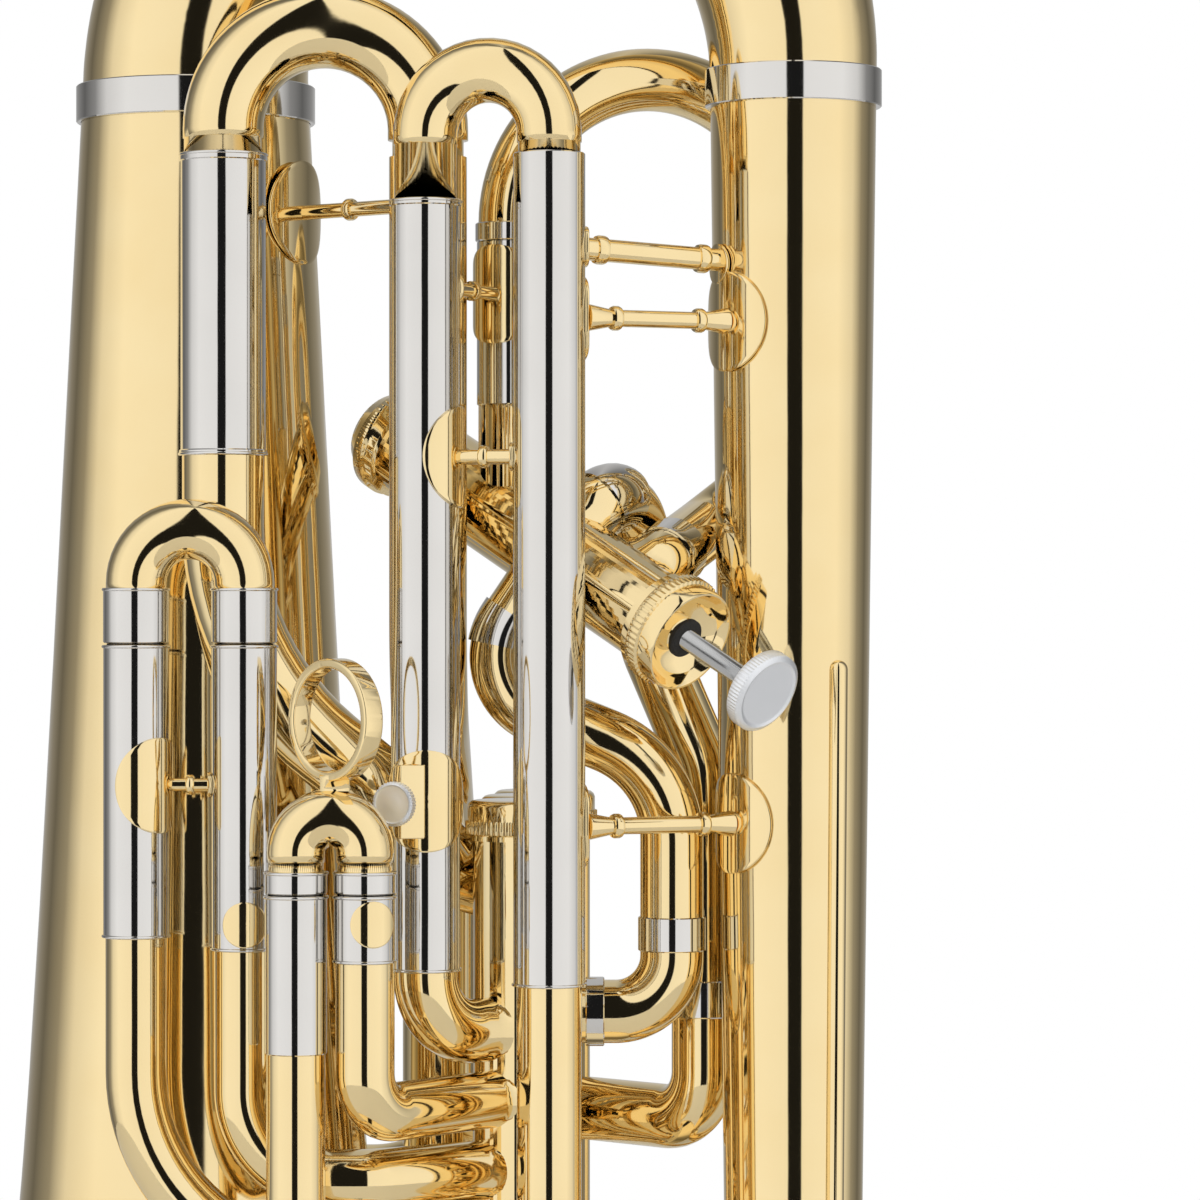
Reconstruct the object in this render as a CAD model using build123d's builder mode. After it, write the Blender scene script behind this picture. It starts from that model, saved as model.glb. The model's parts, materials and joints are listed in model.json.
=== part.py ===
from build123d import *
from math import exp
import os

# Piston-valve tuba standing on its bell. The origin is the centre of the bell rim,
# +Z runs up the bell axis and the valves face -Y.

os.makedirs("parts", exist_ok=True)

# Walls and running clearances
WALL = 1.0
FIT = 0.05
REST_GAP = 0.4
COLLAR_H = 3.0
SOLDER = 0.03

# Bell
RIM_Z = 4.0
RIM_BEAD = 7.0
BELL_SPLIT_Z = 200.0
BELL_TOP_Z = 640.0

# Large branches, measured to their centre lines
BRANCH = (196.1, -50.0)
BRANCH_FOOT_Z = 150.0
BRANCH_FOOT_R = 20.7
BRANCH_HEAD_R = 26.8
UP_BRANCH = (196.1, 30.0)
UP_BRANCH_TOP_Z = 560.0
UP_BRANCH_R = (19.5, 16.5)
DOWN_BRANCH = (196.1, 95.0)
DOWN_BRANCH_FOOT_Z = 250.0
DOWN_BRANCH_R = (15.5, 14.0)
RETURN_FOOT = (79.0, 50.0)
RETURN_R = 12.5

# Valves 1 to 3 stand in a row that goes back from the player's side
VALVES = ((108.7, -50.0), (112.0, -12.0), (115.3, 26.0))
CASING_R = 15.4
CASING_Z = (225.0, 393.0)
CAP_R = 18.0
CAP_H = 13.0
STROKE = 17.0
STEM_R = 3.2
BUTTON_R = 11.5
BUTTON_Z = (186.5, 191.5)
PISTON_Z = (226.0, 370.0)

# Valve 4 lies across the front, its button towards the player's left hand
FOURTH_BACK = Vector(62.2, 4.9, 525.7)
FOURTH_FRONT = Vector(162.5, -89.0, 456.9)
FOURTH_R = 15.0
FOURTH_CAP_R = 17.0
FOURTH_KNURL_R = 18.0
FOURTH_BUTTON_OUT = 36.0
FOURTH_BUTTON_R = 13.2
FOURTH_BUTTON_H = 5.5

# Slides: each pair of legs, radius of the outer tube, and the height of its mouth
MAIN_LEFT = (13.8, -57.0)
MAIN_RIGHT = (78.9, -50.0)
MAIN_LEFT_R = 13.6
MAIN_MOUTH_Z = 612.0
MAIN_RING_Z = 516.0
FOURTH_A = (79.1, -76.0)
FOURTH_B = (118.2, -85.0)
FOURTH_A_R = 10.9
FOURTH_B_R = 11.3
FOURTH_MOUTH_Z = 596.0
FOURTH_A_END_Z = 353.0
FOURTH_B_END_Z = 349.0
LEFT_A = (-11.5, -82.0)
LEFT_B = (22.4, -82.0)
LEFT_R = 10.3
LEFT_MOUTH_Z = 456.0
LEFT_A_END_Z = 364.0
LEFT_B_END_Z = 360.0
SMALL_A = (40.2, -106.5)
SMALL_B = (61.6, -106.5)
SMALL_R = 9.65
SMALL_MOUTH_Z = 379.0
SMALL_A_END_Z = 330.0
SMALL_B_END_Z = 358.0
LINK_R = 10.2
REAR_LINK_R = 10.5


def at(xy, z):
    """A point above a place on the floor plane."""
    return Vector(xy[0], xy[1], z)


def save(builder, label):
    """Name a finished piece and write it."""
    builder.part.label = label
    export_step(builder.part, f"parts/{label}.step")


def tube(points, outer, wall=WALL, radius=20.0):
    """Bent tube of one bore whose path is straight runs joined by arcs."""
    with BuildPart() as piece:
        with BuildLine() as path:
            if len(points) == 2:
                Line(points[0], points[1])
            else:
                FilletPolyline(*points, radius=radius)
        with BuildSketch(Plane(origin=path.line @ 0, z_dir=path.line % 0)):
            Circle(outer)
            Circle(outer - wall, mode=Mode.SUBTRACT)
        sweep(path=path.line)
    return piece.part


def cone(foot, head, foot_r, head_r, wall=WALL):
    """Straight conical tube between two points."""
    length = (head - foot).length
    low = (Align.CENTER, Align.CENTER, Align.MIN)
    with BuildPart(Plane(origin=foot, z_dir=head - foot)) as piece:
        Cone(foot_r, head_r, length, align=low)
        Cone(foot_r - wall, head_r - wall, length, align=low, mode=Mode.SUBTRACT)
    return piece.part


def bow(start, end, rise, start_r, end_r, wall=WALL):
    """Half-circle bend that tapers from one end to the other and rises or hangs by rise."""
    middle = (start + end) / 2 + Vector(0, 0, rise)
    with BuildPart() as piece:
        with BuildLine() as path:
            ThreePointArc(start, middle, end)
        first = Plane(origin=path.line @ 0, z_dir=path.line % 0)
        last = Plane(origin=path.line @ 1, z_dir=path.line % 1)
        for skin, mode in ((0, Mode.ADD), (wall, Mode.SUBTRACT)):
            with BuildSketch(first):
                Circle(start_r - skin)
            with BuildSketch(last):
                Circle(end_r - skin)
            sweep(path=path.line, multisection=True, mode=mode)
    return piece.part


def crook(foot_a, foot_b, outer, leg_z, shoulder_z, leg_radii):
    """Slide bow: two inner legs below a half-circle bend that is a little fatter."""
    shoulders = (at(foot_a, shoulder_z), at(foot_b, shoulder_z))
    half = (shoulders[1] - shoulders[0]).length / 2
    bore = min(leg_radii) - WALL
    with BuildPart() as piece:
        with BuildLine() as path:
            crown = (shoulders[0] + shoulders[1]) / 2 + Vector(0, 0, half)
            ThreePointArc(shoulders[0], crown, shoulders[1])
        with BuildSketch(Plane(shoulders[0])):
            Circle(outer)
            Circle(bore, mode=Mode.SUBTRACT)
        sweep(path=path.line)
        for foot, shoulder, leg_r in zip((foot_a, foot_b), shoulders, leg_radii):
            with BuildSketch(Plane(shoulder)):
                Circle(outer)
                Circle(bore, mode=Mode.SUBTRACT)
            extrude(amount=-COLLAR_H)
            with BuildSketch(Plane(shoulder - Vector(0, 0, COLLAR_H))):
                Circle(leg_r)
                Circle(bore, mode=Mode.SUBTRACT)
            extrude(amount=leg_z + COLLAR_H - shoulder_z)
    return piece.part


def ring(foot, direction, inner, outer, length):
    """Short ferrule or collar round a tube, centred on foot."""
    with BuildPart(Plane(origin=foot, z_dir=direction)) as piece:
        Cylinder(outer, length)
        Cylinder(inner, length, mode=Mode.SUBTRACT)
        chamfer(piece.edges().filter_by(GeomType.CIRCLE).group_by(SortBy.RADIUS)[-1], 0.3)
    return piece.part


def saddle(foot, axis, tube_r, facing, disc_r, thick=1.3):
    """Round brace flange bent to lie on a tube, on the side that facing points to."""
    with BuildPart() as pad:
        with BuildSketch(Plane(origin=foot, z_dir=facing)):
            Circle(disc_r)
        extrude(amount=tube_r + 2 * thick)
        with Locations(Plane(origin=foot, z_dir=axis)):
            Cylinder(tube_r + thick, 3 * disc_r, mode=Mode.INTERSECT)
            Cylinder(tube_r + SOLDER, 3 * disc_r, mode=Mode.SUBTRACT)
    return pad.part


def rod(start, end, radius, bead_r, beads=(0.5,), foot_r=None):
    """Round brace rod with turned beads and, where foot_r is given, a cone at each end."""
    run = end - start
    low = (Align.CENTER, Align.CENTER, Align.MIN)
    high = (Align.CENTER, Align.CENTER, Align.MAX)
    with BuildPart(Plane(origin=start, z_dir=run)) as bar:
        Cylinder(radius, run.length, align=low)
        for share in beads:
            with Locations((0, 0, share * run.length)):
                Cylinder(bead_r, 0.7 * bead_r)
        if foot_r:
            Cone(foot_r, radius, 2 * foot_r, align=low)
            with Locations((0, 0, run.length)):
                Cone(radius, foot_r, 2 * foot_r, align=high)
    return bar.part


up = Vector(0, 0, 1)


def bell_r(z):
    """Outside radius of the bell at a height: a slow taper plus a fast flare."""
    return 69.8 - 0.0508 * z + 143.2 * exp(-z / 64.0)


def bell_wall(heights, edge=Spline):
    """Half-profile of the bell's sheet between two heights, its edges splines or polylines."""
    outer = [(bell_r(z), z) for z in heights]
    inner = [(bell_r(z) - WALL * (1 + (RIM_BEAD / (z + RIM_BEAD))), z) for z in heights]
    with BuildSketch(Plane.XZ) as section:
        with BuildLine():
            edge(*outer)
            Line(outer[-1], inner[-1])
            edge(*reversed(inner))
            Line(inner[0], outer[0])
        make_face()
    return section.sketch


def branch_r(z):
    """Outside radius of the outer branch at a height."""
    share = (z - BRANCH_FOOT_Z) / (BELL_TOP_Z - BRANCH_FOOT_Z)
    return BRANCH_FOOT_R + share * (BRANCH_HEAD_R - BRANCH_FOOT_R)


# Bell: flared mouth, tapering stack and the wired rim it stands on
flare_heights = (RIM_Z, 8, 14, 22, 34, 50, 70, 95, 130, 165, BELL_SPLIT_Z)
with BuildPart() as bell_flare:
    add(bell_wall(flare_heights))
    revolve(axis=Axis.Z)
save(bell_flare, "bell_flare")

with BuildPart() as bell_stack:
    add(bell_wall((BELL_SPLIT_Z, 215, 232, 252, 278, 315, 370, 450, BELL_TOP_Z), Polyline))
    revolve(axis=Axis.Z)
save(bell_stack, "bell_stack")

with BuildPart() as bell_rim:
    with BuildSketch(Plane.XZ):
        with Locations((bell_r(RIM_Z), RIM_BEAD / 2)):
            Rectangle(RIM_BEAD, RIM_BEAD)
        chamfer(vertices(), 0.25 * RIM_BEAD)
    revolve(axis=Axis.Z)
save(bell_rim, "bell_rim")

# Large branches and bows
bell_top = Vector(0, 0, BELL_TOP_Z)
branch_top = at(BRANCH, BELL_TOP_Z)
bow_half = (branch_top - bell_top).length / 2
with BuildPart() as bottom_bow:
    add(bow(bell_top, branch_top, bow_half, bell_r(BELL_TOP_Z), BRANCH_HEAD_R))
save(bottom_bow, "bottom_bow")

with BuildPart() as outer_branch:
    add(cone(at(BRANCH, BRANCH_FOOT_Z), branch_top, BRANCH_FOOT_R, BRANCH_HEAD_R))
save(outer_branch, "outer_branch")

top_bow_half = (UP_BRANCH[1] - BRANCH[1]) / 2
with BuildPart() as top_bow:
    foot = at(BRANCH, BRANCH_FOOT_Z)
    add(bow(foot, at(UP_BRANCH, BRANCH_FOOT_Z), -top_bow_half, BRANCH_FOOT_R, UP_BRANCH_R[0]))
save(top_bow, "top_bow")

with BuildPart() as inner_branch_up:
    add(cone(at(UP_BRANCH, BRANCH_FOOT_Z), at(UP_BRANCH, UP_BRANCH_TOP_Z), *UP_BRANCH_R))
save(inner_branch_up, "inner_branch_up")

small_bow_half = (DOWN_BRANCH[1] - UP_BRANCH[1]) / 2
with BuildPart() as small_bow:
    foot = at(UP_BRANCH, UP_BRANCH_TOP_Z)
    add(bow(foot, at(DOWN_BRANCH, UP_BRANCH_TOP_Z), small_bow_half, UP_BRANCH_R[1], DOWN_BRANCH_R[0]))
save(small_bow, "small_bow")

with BuildPart() as inner_branch_down:
    head = at(DOWN_BRANCH, UP_BRANCH_TOP_Z)
    add(cone(at(DOWN_BRANCH, DOWN_BRANCH_FOOT_Z), head, DOWN_BRANCH_R[1], DOWN_BRANCH_R[0]))
save(inner_branch_down, "inner_branch_down")

lower_start = at(DOWN_BRANCH, DOWN_BRANCH_FOOT_Z)
lower_end = at(RETURN_FOOT, DOWN_BRANCH_FOOT_Z)
lower_half = (lower_end - lower_start).length / 2
with BuildPart() as lower_bow:
    add(bow(lower_start, lower_end, -lower_half, DOWN_BRANCH_R[1], RETURN_R))
save(lower_bow, "lower_bow")

# Half-round wire that guards the front of the outer branch
WIRE_R = 3.0
WIRE_TOP_Z = 448.0
WIRE_FOOT_Z = 200.0
WIRE_SIDE = Vector(0.55, -0.835, 0)
with BuildPart() as branch_guard_wire:
    wire_foot = at(BRANCH, WIRE_FOOT_Z) + WIRE_SIDE * branch_r(WIRE_FOOT_Z)
    wire_head = at(BRANCH, WIRE_TOP_Z) + WIRE_SIDE * branch_r(WIRE_TOP_Z)
    with BuildPart(Plane(origin=wire_foot, z_dir=wire_head - wire_foot), mode=Mode.PRIVATE) as wire:
        Cylinder(WIRE_R, (wire_head - wire_foot).length, align=(Align.CENTER, Align.CENTER, Align.MIN))
    add(wire.part)
    with Locations(wire_head):
        Sphere(WIRE_R)
    branch_plane = Plane(at(BRANCH, BRANCH_FOOT_Z))
    with BuildPart(branch_plane, mode=Mode.PRIVATE) as branch_core:
        branch_length = BELL_TOP_Z - BRANCH_FOOT_Z
        low = (Align.CENTER, Align.CENTER, Align.MIN)
        Cone(BRANCH_FOOT_R, BRANCH_HEAD_R, branch_length, align=low)
    add(branch_core.part, mode=Mode.SUBTRACT)
save(branch_guard_wire, "branch_guard_wire")

# Valves 1 to 3: casing, screwed caps, piston and finger button
casing_low, casing_high = CASING_Z
LOW = (Align.CENTER, Align.CENTER, Align.MIN)
casing_cores = []
for number, place in enumerate(VALVES, start=1):
    casing_length = casing_high - casing_low
    with BuildPart(Plane(at(place, casing_low))) as casing_core:
        Cylinder(CASING_R, casing_length, align=LOW)
    casing_cores.append(casing_core.part)
    with BuildPart(Plane(at(place, casing_low))) as casing:
        Cylinder(CASING_R, casing_length, align=LOW)
        Cylinder(CASING_R - WALL, casing_length, align=LOW, mode=Mode.SUBTRACT)
    save(casing, f"valve_{number}_casing")

    with BuildPart(Plane(at(place, casing_high))) as bottom_cap:
        Cylinder(CASING_R + 1.0, 2.2, align=LOW)
        with BuildSketch(Plane(at(place, casing_high + 2.2))):
            Circle(CAP_R)
            with PolarLocations(CAP_R + 0.35, 40):
                Circle(0.8, mode=Mode.SUBTRACT)
        extrude(amount=4.2)
        with Locations((0, 0, 6.4)):
            Cone(CAP_R - 0.8, CAP_R - 3.5, CAP_H - 6.4, align=LOW)
    save(bottom_cap, f"valve_{number}_bottom_cap")

    with BuildPart(Plane(at(place, casing_low - CAP_H))) as top_cap:
        Cone(CAP_R - 6.0, CAP_R - 0.8, 7.0, align=LOW)
        with Locations((0, 0, 7.0)):
            Cylinder(CAP_R, CAP_H - 7.0, align=LOW)
        Cylinder(STEM_R + FIT, CAP_H, align=LOW, mode=Mode.SUBTRACT)
    save(top_cap, f"valve_{number}_top_cap")

    piston_low, piston_high = PISTON_Z
    piston_length = piston_high - piston_low
    with BuildPart(Plane(at(place, piston_low))) as piston:
        Cylinder(CASING_R - WALL - FIT, piston_length, align=LOW)
        with Locations((0, 0, 3.0)):
            Cylinder(CASING_R - 3 * WALL, piston_length, align=LOW, mode=Mode.SUBTRACT)
        with Locations((0, 0, BUTTON_Z[1] - piston_low)):
            Cylinder(STEM_R, piston_low - BUTTON_Z[1] + 1.0, align=LOW)
    save(piston, f"valve_{number}_piston")

    with BuildPart(Plane(at(place, BUTTON_Z[0]))) as button:
        Cylinder(BUTTON_R, BUTTON_Z[1] - BUTTON_Z[0], align=LOW)
        rims = button.edges().filter_by(GeomType.CIRCLE).group_by(SortBy.RADIUS)[-1]
        fillet(rims, 1.2)
    save(button, f"valve_{number}_button")

# Short ports that join the three casings
with BuildPart() as valve_knuckles:
    for port_z in (275.0, 330.0):
        for near, far in zip(VALVES, VALVES[1:]):
            add(tube((at(near, port_z), at(far, port_z)), 8.7))
    for core in casing_cores:
        add(core, mode=Mode.SUBTRACT)
save(valve_knuckles, "valve_knuckles")

# Valve 4
fourth_run = FOURTH_FRONT - FOURTH_BACK
FOURTH_AXIS = fourth_run.normalized()
FOURTH_CAP_H = 14.0
fourth_casing_length = fourth_run.length - 2 * FOURTH_CAP_H


def along_fourth(distance):
    """Point on the fourth valve's axis, measured from its back end."""
    return FOURTH_BACK + FOURTH_AXIS * distance


with BuildPart(Plane(origin=along_fourth(FOURTH_CAP_H), z_dir=FOURTH_AXIS)) as fourth_core:
    Cylinder(FOURTH_R, fourth_casing_length, align=LOW)
casing_cores.append(fourth_core.part)
with BuildPart(Plane(origin=along_fourth(FOURTH_CAP_H), z_dir=FOURTH_AXIS)) as valve_4_casing:
    Cylinder(FOURTH_R, fourth_casing_length, align=LOW)
    Cylinder(FOURTH_R - WALL, fourth_casing_length, align=LOW, mode=Mode.SUBTRACT)
save(valve_4_casing, "valve_4_casing")

with BuildPart(Plane(origin=FOURTH_BACK, z_dir=FOURTH_AXIS)) as valve_4_back_cap:
    Cone(FOURTH_CAP_R - 3.0, FOURTH_CAP_R, 6.0, align=LOW)
    with Locations((0, 0, 6.0)):
        Cylinder(FOURTH_KNURL_R, 4.0, align=LOW)
    with Locations((0, 0, 10.0)):
        Cylinder(FOURTH_CAP_R, FOURTH_CAP_H - 10.0, align=LOW)
save(valve_4_back_cap, "valve_4_back_cap")

cap_foot = fourth_run.length - FOURTH_CAP_H
with BuildPart(Plane(origin=along_fourth(cap_foot), z_dir=FOURTH_AXIS)) as valve_4_front_cap:
    Cylinder(FOURTH_CAP_R, FOURTH_CAP_H, align=LOW)
    with Locations((0, 0, 3.0)):
        Cylinder(FOURTH_KNURL_R, 5.0, align=LOW)
    with Locations((0, 0, 5.0)):
        Cone(FOURTH_CAP_R - 6.0, FOURTH_CAP_R - 1.5, FOURTH_CAP_H - 5.0, align=LOW, mode=Mode.SUBTRACT)
    with Locations((0, 0, 5.0)):
        Cylinder(6.0, 5.0, align=LOW)
    Cylinder(STEM_R + FIT, FOURTH_CAP_H, align=LOW, mode=Mode.SUBTRACT)
save(valve_4_front_cap, "valve_4_front_cap")

FOURTH_PISTON = (32.0, 138.0)
piston_4_length = FOURTH_PISTON[1] - FOURTH_PISTON[0]
button_4_back = fourth_run.length + FOURTH_BUTTON_OUT - FOURTH_BUTTON_H
with BuildPart(Plane(origin=along_fourth(FOURTH_PISTON[0]), z_dir=FOURTH_AXIS)) as valve_4_piston:
    Cylinder(FOURTH_R - WALL - FIT, piston_4_length, align=LOW)
    Cylinder(FOURTH_R - 3 * WALL, piston_4_length - 3.0, align=LOW, mode=Mode.SUBTRACT)
    with Locations((0, 0, piston_4_length - 1.0)):
        Cylinder(STEM_R, button_4_back - FOURTH_PISTON[1] + 1.0, align=LOW)
save(valve_4_piston, "valve_4_piston")

with BuildPart(Plane(origin=along_fourth(button_4_back), z_dir=FOURTH_AXIS)) as valve_4_button:
    with BuildSketch(Plane(origin=along_fourth(button_4_back), z_dir=FOURTH_AXIS)):
        Circle(FOURTH_BUTTON_R)
        with PolarLocations(FOURTH_BUTTON_R + 0.3, 48):
            Circle(0.55, mode=Mode.SUBTRACT)
    extrude(amount=FOURTH_BUTTON_H)
save(valve_4_button, "valve_4_button")

# Main tuning slide and the tube that carries its left leg across to the valves
with BuildPart() as main_slide_receiver:
    add(tube((at(MAIN_LEFT, MAIN_RING_Z), at(MAIN_LEFT, MAIN_MOUTH_Z)), MAIN_LEFT_R))
    for collar_z in (MAIN_RING_Z + 1.0, MAIN_MOUTH_Z - 1.2):
        add(ring(at(MAIN_LEFT, collar_z), up, MAIN_LEFT_R, MAIN_LEFT_R + 0.5, 2.0))
save(main_slide_receiver, "main_slide_receiver")

with BuildPart() as return_tube:
    return_path = (
        at(RETURN_FOOT, DOWN_BRANCH_FOOT_Z),
        at(RETURN_FOOT, 390.0),
        at(MAIN_RIGHT, 440.0),
        at(MAIN_RIGHT, MAIN_MOUTH_Z),
    )
    add(tube(return_path, RETURN_R, radius=40.0))
save(return_tube, "return_tube")

with BuildPart() as diagonal_tube:
    diagonal_path = (
        at(MAIN_LEFT, MAIN_RING_Z),
        at(MAIN_LEFT, 450.8),
        Vector(64.0, -53.0, 408.6),
        Vector(83.0, -25.0, 384.0),
        Vector(106.0, -11.0, 375.0),
    )
    add(tube(diagonal_path, MAIN_LEFT_R - 0.4, radius=(93.0, 20.0, 18.0)))
    add(casing_cores[1], mode=Mode.SUBTRACT)
save(diagonal_tube, "diagonal_tube")

with BuildPart() as main_slide:
    main_radii = (MAIN_LEFT_R - WALL - FIT, RETURN_R - WALL - FIT)
    add(crook(MAIN_LEFT, MAIN_RIGHT, 12.9, 540.0, MAIN_MOUTH_Z + REST_GAP + 8.0, main_radii))
save(main_slide, "main_slide")

# Fourth-valve slide across the front
with BuildPart() as fourth_slide_receivers:
    add(tube((at(FOURTH_A, FOURTH_A_END_Z), at(FOURTH_A, FOURTH_MOUTH_Z)), FOURTH_A_R))
    add(ring(at(FOURTH_A, FOURTH_MOUTH_Z - 1.0), up, FOURTH_A_R, FOURTH_A_R + 0.5, 2.0))
    b_wall = WALL + FOURTH_B_R - FOURTH_A_R
    add(tube((at(FOURTH_B, FOURTH_B_END_Z), at(FOURTH_B, FOURTH_MOUTH_Z + 14.0)), FOURTH_B_R, b_wall))
save(fourth_slide_receivers, "fourth_slide_receivers")

with BuildPart() as fourth_slide_elbows:
    elbow_a = (at(FOURTH_A, FOURTH_A_END_Z), at(FOURTH_A, 333.0), at(VALVES[0], 333.0))
    add(tube(elbow_a, LINK_R, radius=19.0))
    elbow_b = (at(FOURTH_B, FOURTH_B_END_Z), at(FOURTH_B, 250.0), at(VALVES[0], 250.0))
    add(tube(elbow_b, LINK_R, radius=15.0))
    add(casing_cores[0], mode=Mode.SUBTRACT)
save(fourth_slide_elbows, "fourth_slide_elbows")

with BuildPart() as fourth_slide:
    fourth_radii = (FOURTH_A_R - WALL - FIT, FOURTH_A_R - WALL - FIT)
    add(crook(FOURTH_A, FOURTH_B, 10.2, 400.0, FOURTH_MOUTH_Z + 14.0 + REST_GAP + 6.0, fourth_radii))
save(fourth_slide, "fourth_slide")

# First-valve slide at the left, with both legs curving across to valve 1
with BuildPart() as left_slide_receivers:
    add(tube((at(LEFT_A, LEFT_A_END_Z), at(LEFT_A, LEFT_MOUTH_Z)), LEFT_R))
    add(tube((at(LEFT_B, LEFT_B_END_Z), at(LEFT_B, LEFT_MOUTH_Z)), LEFT_R))
save(left_slide_receivers, "left_slide_receivers")

with BuildPart() as left_slide_bends:
    bend_a = (at(LEFT_A, LEFT_A_END_Z), at(LEFT_A, 262.0), Vector(62, -82, 262), at(VALVES[0], 262.0))
    bend_b = (at(LEFT_B, LEFT_B_END_Z), at(LEFT_B, 288.0), Vector(62, -82, 288), at(VALVES[0], 288.0))
    add(tube(bend_a, LEFT_R - 0.7, radius=(60.0, 12.0)))
    add(tube(bend_b, LEFT_R - 0.7, radius=(28.0, 8.0)))
    add(casing_cores[0], mode=Mode.SUBTRACT)
save(left_slide_bends, "left_slide_bends")

left_leg_r = LEFT_R - WALL - FIT
with BuildPart() as left_slide:
    add(crook(LEFT_A, LEFT_B, 9.5, 375.0, 475.3, (left_leg_r, left_leg_r)))
    for foot in (LEFT_A, LEFT_B):
        add(ring(at(foot, 465.0), up, left_leg_r, LEFT_R, 17.0))
save(left_slide, "left_slide")

# Small slide with the finger ring
with BuildPart() as small_slide_receivers:
    add(tube((at(SMALL_A, SMALL_A_END_Z), at(SMALL_A, SMALL_MOUTH_Z)), SMALL_R))
    add(tube((at(SMALL_B, SMALL_B_END_Z), at(SMALL_B, SMALL_MOUTH_Z)), SMALL_R))
save(small_slide_receivers, "small_slide_receivers")

with BuildPart() as small_slide_bends:
    far_port = Vector(82.0, -76.0, 236.0)
    bend_a = (at(SMALL_A, SMALL_A_END_Z), at(SMALL_A, 236.0), far_port, at(VALVES[0], 236.0))
    bend_b = (at(SMALL_B, SMALL_B_END_Z), at(SMALL_B, 311.0), at(VALVES[0], 311.0))
    add(tube(bend_a, SMALL_R - 0.5, radius=(24.0, 8.0)))
    add(tube(bend_b, SMALL_R - 0.5, radius=13.0))
    add(casing_cores[0], mode=Mode.SUBTRACT)
save(small_slide_bends, "small_slide_bends")

small_leg_r = SMALL_R - WALL - FIT
SMALL_CROOK_Z = 392.1
with BuildPart() as small_slide:
    add(crook(SMALL_A, SMALL_B, 9.0, SMALL_B_END_Z + 2.0, SMALL_CROOK_Z, (small_leg_r, small_leg_r)))
    for foot in (SMALL_A, SMALL_B):
        add(ring(at(foot, 382.7), up, small_leg_r, SMALL_R, 6.6))
save(small_slide, "small_slide")

RING_R = 19.0
RING_WALL = 3.0
RING_WIDTH = 7.3
RING_FACING = Vector(-0.73, -0.68, 0)
crook_middle = (SMALL_A[0] + SMALL_B[0]) / 2
crook_crown_z = SMALL_CROOK_Z + (SMALL_B[0] - SMALL_A[0]) / 2 + 9.0
ring_centre = Vector(crook_middle + 1.5, SMALL_A[1], crook_crown_z + 2.2 + RING_R)
with BuildPart() as finger_ring:
    with BuildPart(Plane(origin=ring_centre, z_dir=RING_FACING), mode=Mode.PRIVATE) as loop:
        Cylinder(RING_R, RING_WIDTH)
        Cylinder(RING_R - RING_WALL, RING_WIDTH, mode=Mode.SUBTRACT)
        fillet(loop.edges().filter_by(GeomType.CIRCLE), 0.9)
    add(loop.part)
    with Locations((ring_centre.X, ring_centre.Y, crook_crown_z + 1.6)):
        Box(9.0, 6.0, 4.6)
save(finger_ring, "finger_ring")

# Links between valve 4, valve 1 and the branches
with BuildPart() as front_link:
    front_path = (
        along_fourth(89.8),
        Vector(92.0, -50.0, 442.6),
        Vector(157.2, -50.0, 416.4),
        Vector(157.2, -50.0, 338.0),
        at(VALVES[0], 338.0),
    )
    add(tube(front_path, LINK_R, radius=(20.0, 34.0, 18.0)))
    add(fourth_core.part, mode=Mode.SUBTRACT)
    add(casing_cores[0], mode=Mode.SUBTRACT)
save(front_link, "front_link")

with BuildPart() as rear_link:
    rear_path = (
        along_fourth(88.5),
        Vector(137.0, -44.7, 505.2),
        Vector(146.0, -18.0, 497.0),
        Vector(151.0, -16.0, 455.0),
        Vector(168.0, -22.0, 415.0),
        Vector(168.0, -22.0, 300.0),
        at(VALVES[2], 300.0),
    )
    add(tube(rear_path, REAR_LINK_R, radius=(12.0, 14.0, 22.0, 26.0, 16.0)))
    add(fourth_core.part, mode=Mode.SUBTRACT)
    add(casing_cores[2], mode=Mode.SUBTRACT)
save(rear_link, "rear_link")

UPPER_PORT = Vector(104.9, -36.0, 592.0)
BRANCH_LINK = (197.0, -9.0)
with BuildPart() as branch_link:
    branch_path = (
        along_fourth(118.4),
        Vector(153.5, -59.0, 482.3),
        Vector(169.0, -19.0, 494.0),
        at(BRANCH_LINK, 516.0),
        at(BRANCH_LINK, UPPER_PORT.Z),
    )
    add(tube(branch_path, LINK_R, radius=(12.0, 16.0, 22.0)))
    add(fourth_core.part, mode=Mode.SUBTRACT)
save(branch_link, "branch_link")

with BuildPart() as upper_link:
    port_foot = (UPPER_PORT.X, UPPER_PORT.Y)
    add(tube((Vector(*port_foot, 499.0), UPPER_PORT), LINK_R))
    upper_end = at(BRANCH_LINK, UPPER_PORT.Z)
    add(bow(UPPER_PORT, upper_end, (upper_end - UPPER_PORT).length / 2, LINK_R, LINK_R))
    add(fourth_core.part, mode=Mode.SUBTRACT)
save(upper_link, "upper_link")

# Leadpipe from valve 3 round the back of the bell to the mouthpiece receiver
RECEIVER_BORE_R = 6.75
RECEIVER_LENGTH = 45.0
RECEIVER_MOUTH = Vector(-65.0, 95.0, 270.0)
leadpipe_end = RECEIVER_MOUTH + Vector(RECEIVER_LENGTH, 0, 0)
with BuildPart() as leadpipe:
    leadpipe_path = (
        at(VALVES[2], 292.0),
        Vector(115.3, 92.0, 286.0),
        Vector(60.0, RECEIVER_MOUTH.Y, RECEIVER_MOUTH.Z),
        leadpipe_end,
    )
    add(tube(leadpipe_path, 8.0, radius=(24.0, 40.0)))
    add(casing_cores[2], mode=Mode.SUBTRACT)
save(leadpipe, "leadpipe")

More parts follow.
